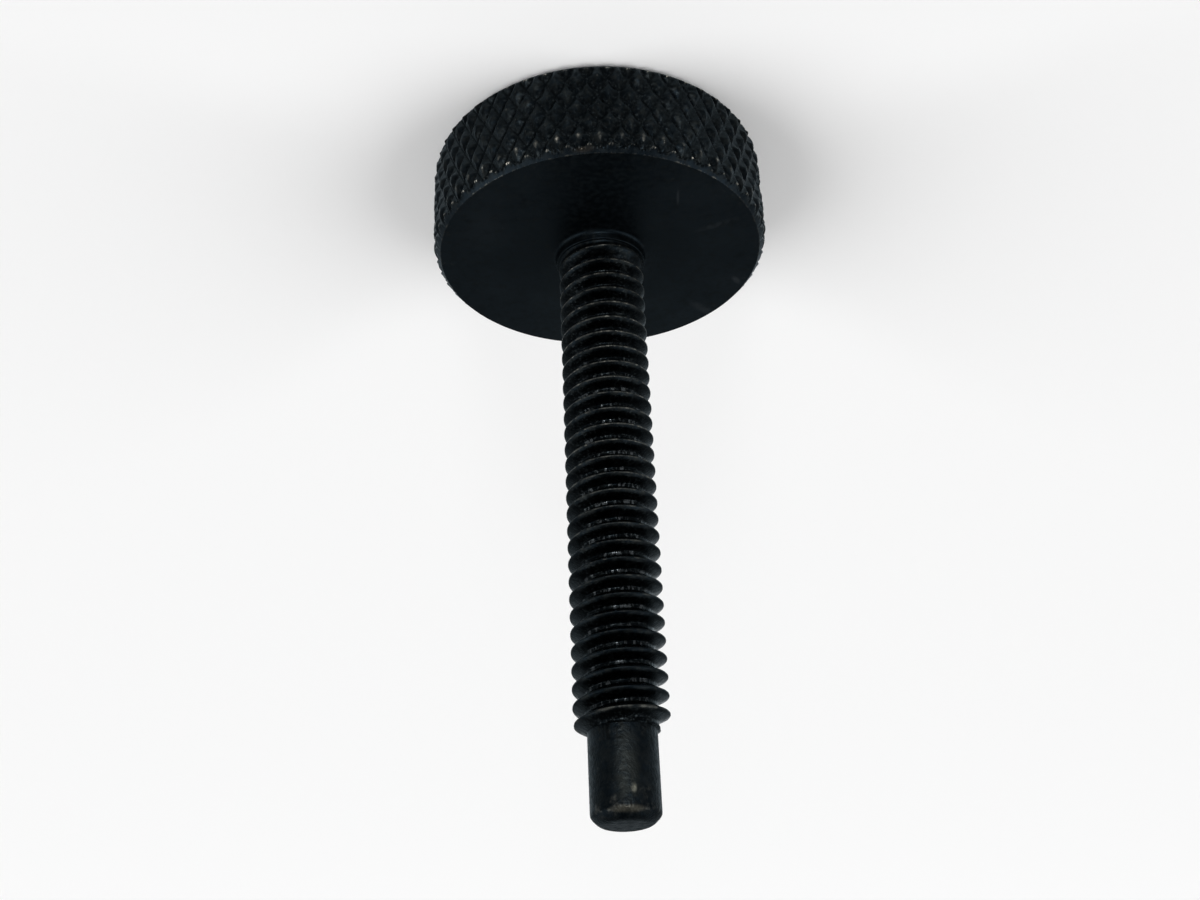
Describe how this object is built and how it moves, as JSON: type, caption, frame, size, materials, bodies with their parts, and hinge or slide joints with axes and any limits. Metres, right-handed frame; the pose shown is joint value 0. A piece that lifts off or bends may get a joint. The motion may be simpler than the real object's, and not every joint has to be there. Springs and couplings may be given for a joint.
{
  "type": "thumb screw",
  "caption": "Thumb screw with a wide diamond-knurled disc head, a long coarse-threaded shank and a plain dog point, for tightening by hand.",
  "frame": {"origin": "centre of the head's flat outer face, which it stands on", "axes": "+Z along the screw's axis, from the head to the tip of the dog point"},
  "size_m": [0.0254, 0.0254, 0.0514],
  "materials": {
    "black_steel": "black oxide over turned steel, worn to brown and bare metal on its crests and edges"
  },
  "bodies": {
    "root": {"thumb_screw": "black_steel"}
  },
  "joints": []
}
